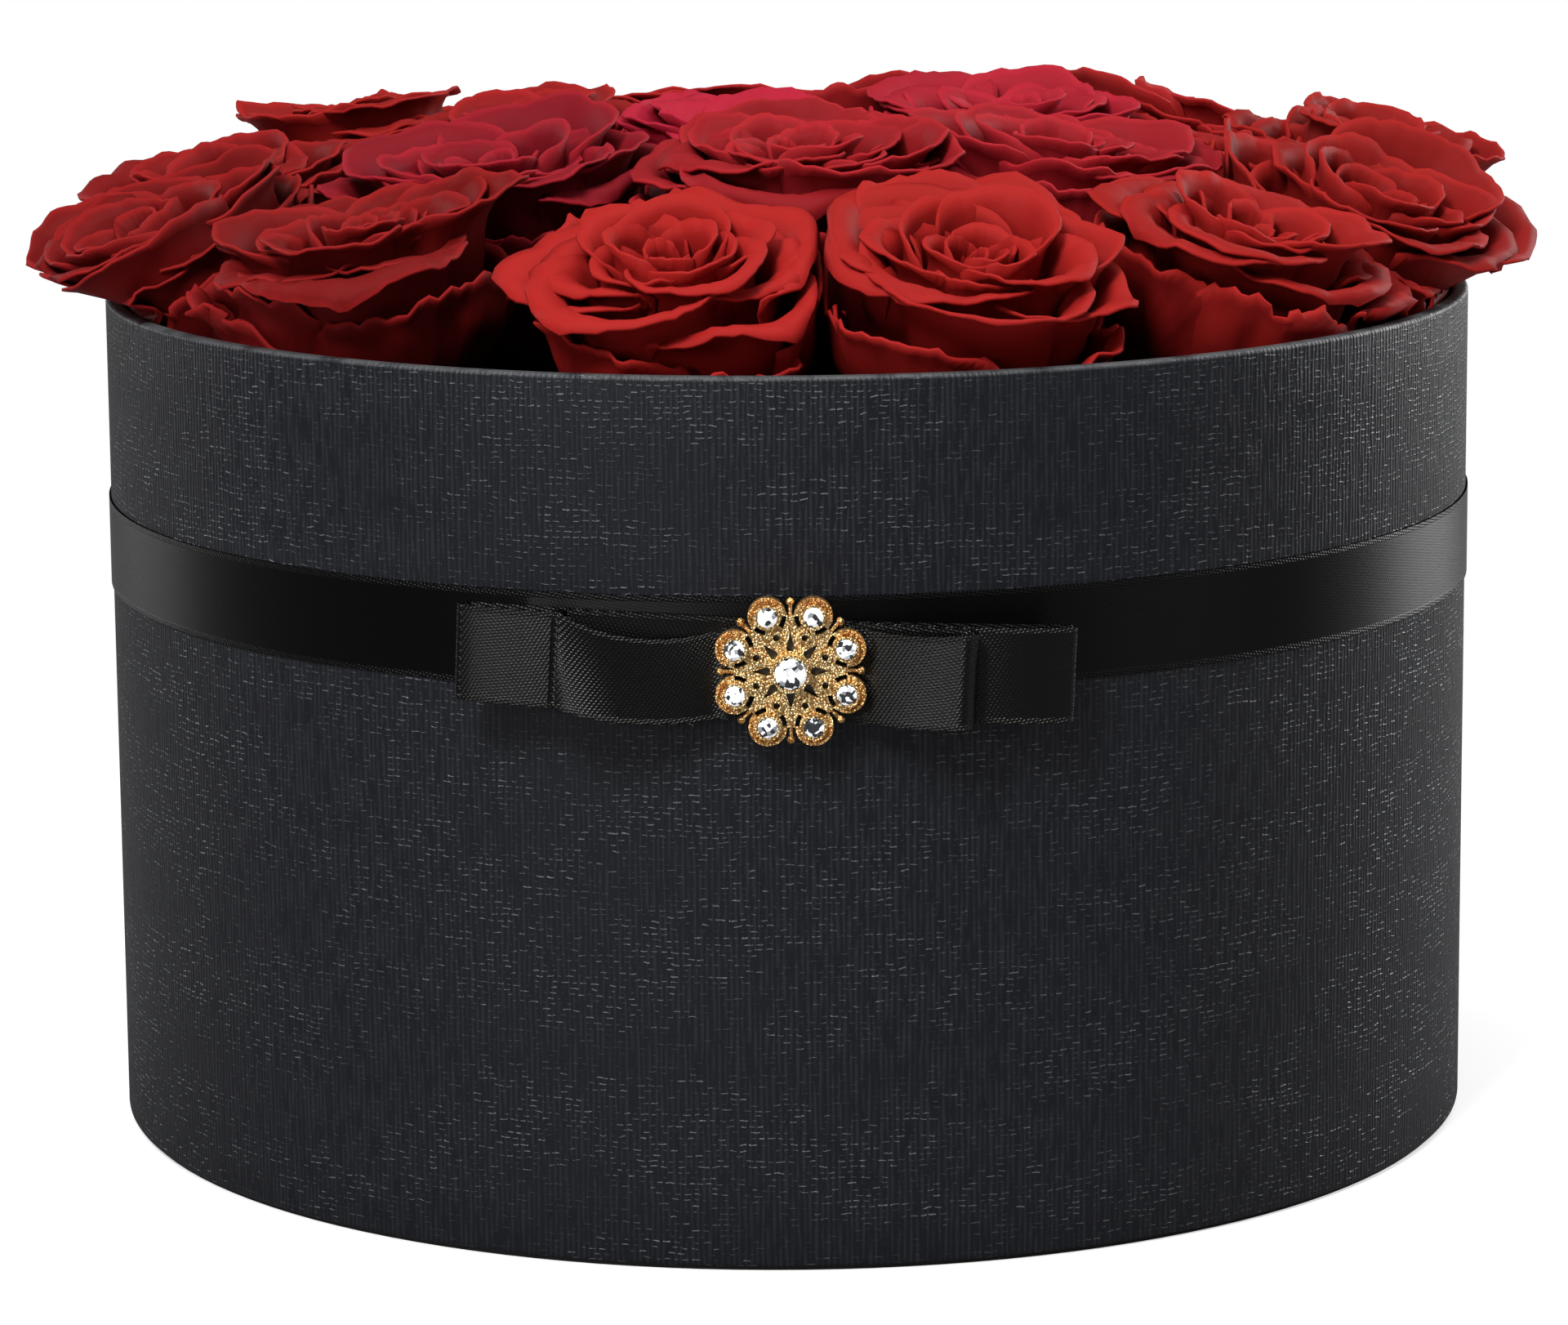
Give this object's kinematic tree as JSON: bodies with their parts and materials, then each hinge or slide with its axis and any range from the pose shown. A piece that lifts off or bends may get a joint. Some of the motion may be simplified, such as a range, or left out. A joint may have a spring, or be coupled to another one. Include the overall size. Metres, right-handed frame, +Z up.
{
  "type": "flower box",
  "caption": "Round paper-covered gift box with a satin bow and a stone-set brooch, filled with preserved roses on a foam block.",
  "frame": {"origin": "centre of the round base on the surface it stands on", "axes": "+Z up out of the box, -Y towards the front where the bow and brooch are, +X to the right seen from the front"},
  "size_m": [0.2508, 0.2592, 0.1865],
  "materials": {
    "embossed_paper": "linen-embossed, satin",
    "base_paper": "matte",
    "greyboard": "matte",
    "lining": "matte",
    "satin_band": "satin ribbon",
    "satin_bow": "twill-backed satin ribbon",
    "hot_glue": "hot-melt glue",
    "gold_setting": "polished gold tone",
    "rhinestone": "cut glass, foiled back",
    "dry_foam": "open-cell dry floral foam",
    "stem": "dyed rose stem",
    "rose_petal": "preserved petals, velvety"
  },
  "bodies": {
    "box": {"base_sheet": "base_paper", "base_board": "greyboard", "box_tube": "greyboard", "cover_paper": "embossed_paper", "lining_paper": "lining", "floor_paper": "lining", "ribbon_band": "satin_band", "bow_back_loop": "satin_bow", "bow_front_loop": "satin_bow", "brooch_glue_pad": "hot_glue", "brooch_setting": "gold_setting", "brooch_centre_stone": "rhinestone", "brooch_side_stones": "rhinestone"},
    "flower_insert": {"foam_block": "dry_foam", "rose_stems": "stem", "outer_rose_1": "rose_petal", "outer_rose_2": "rose_petal", "outer_rose_3": "rose_petal", "outer_rose_4": "rose_petal", "outer_rose_5": "rose_petal", "outer_rose_6": "rose_petal", "outer_rose_7": "rose_petal", "outer_rose_8": "rose_petal", "outer_rose_9": "rose_petal", "outer_rose_10": "rose_petal", "outer_rose_11": "rose_petal", "outer_rose_12": "rose_petal", "inner_rose_1": "rose_petal", "inner_rose_2": "rose_petal", "inner_rose_3": "rose_petal", "inner_rose_4": "rose_petal", "inner_rose_5": "rose_petal", "inner_rose_6": "rose_petal", "centre_rose": "rose_petal"}
  },
  "joints": [
    {"name": "insert_lift", "type": "slide", "parent": "box", "child": "flower_insert", "axis": [0, 0, 1], "range_m": [0, 0.16]}
  ]
}
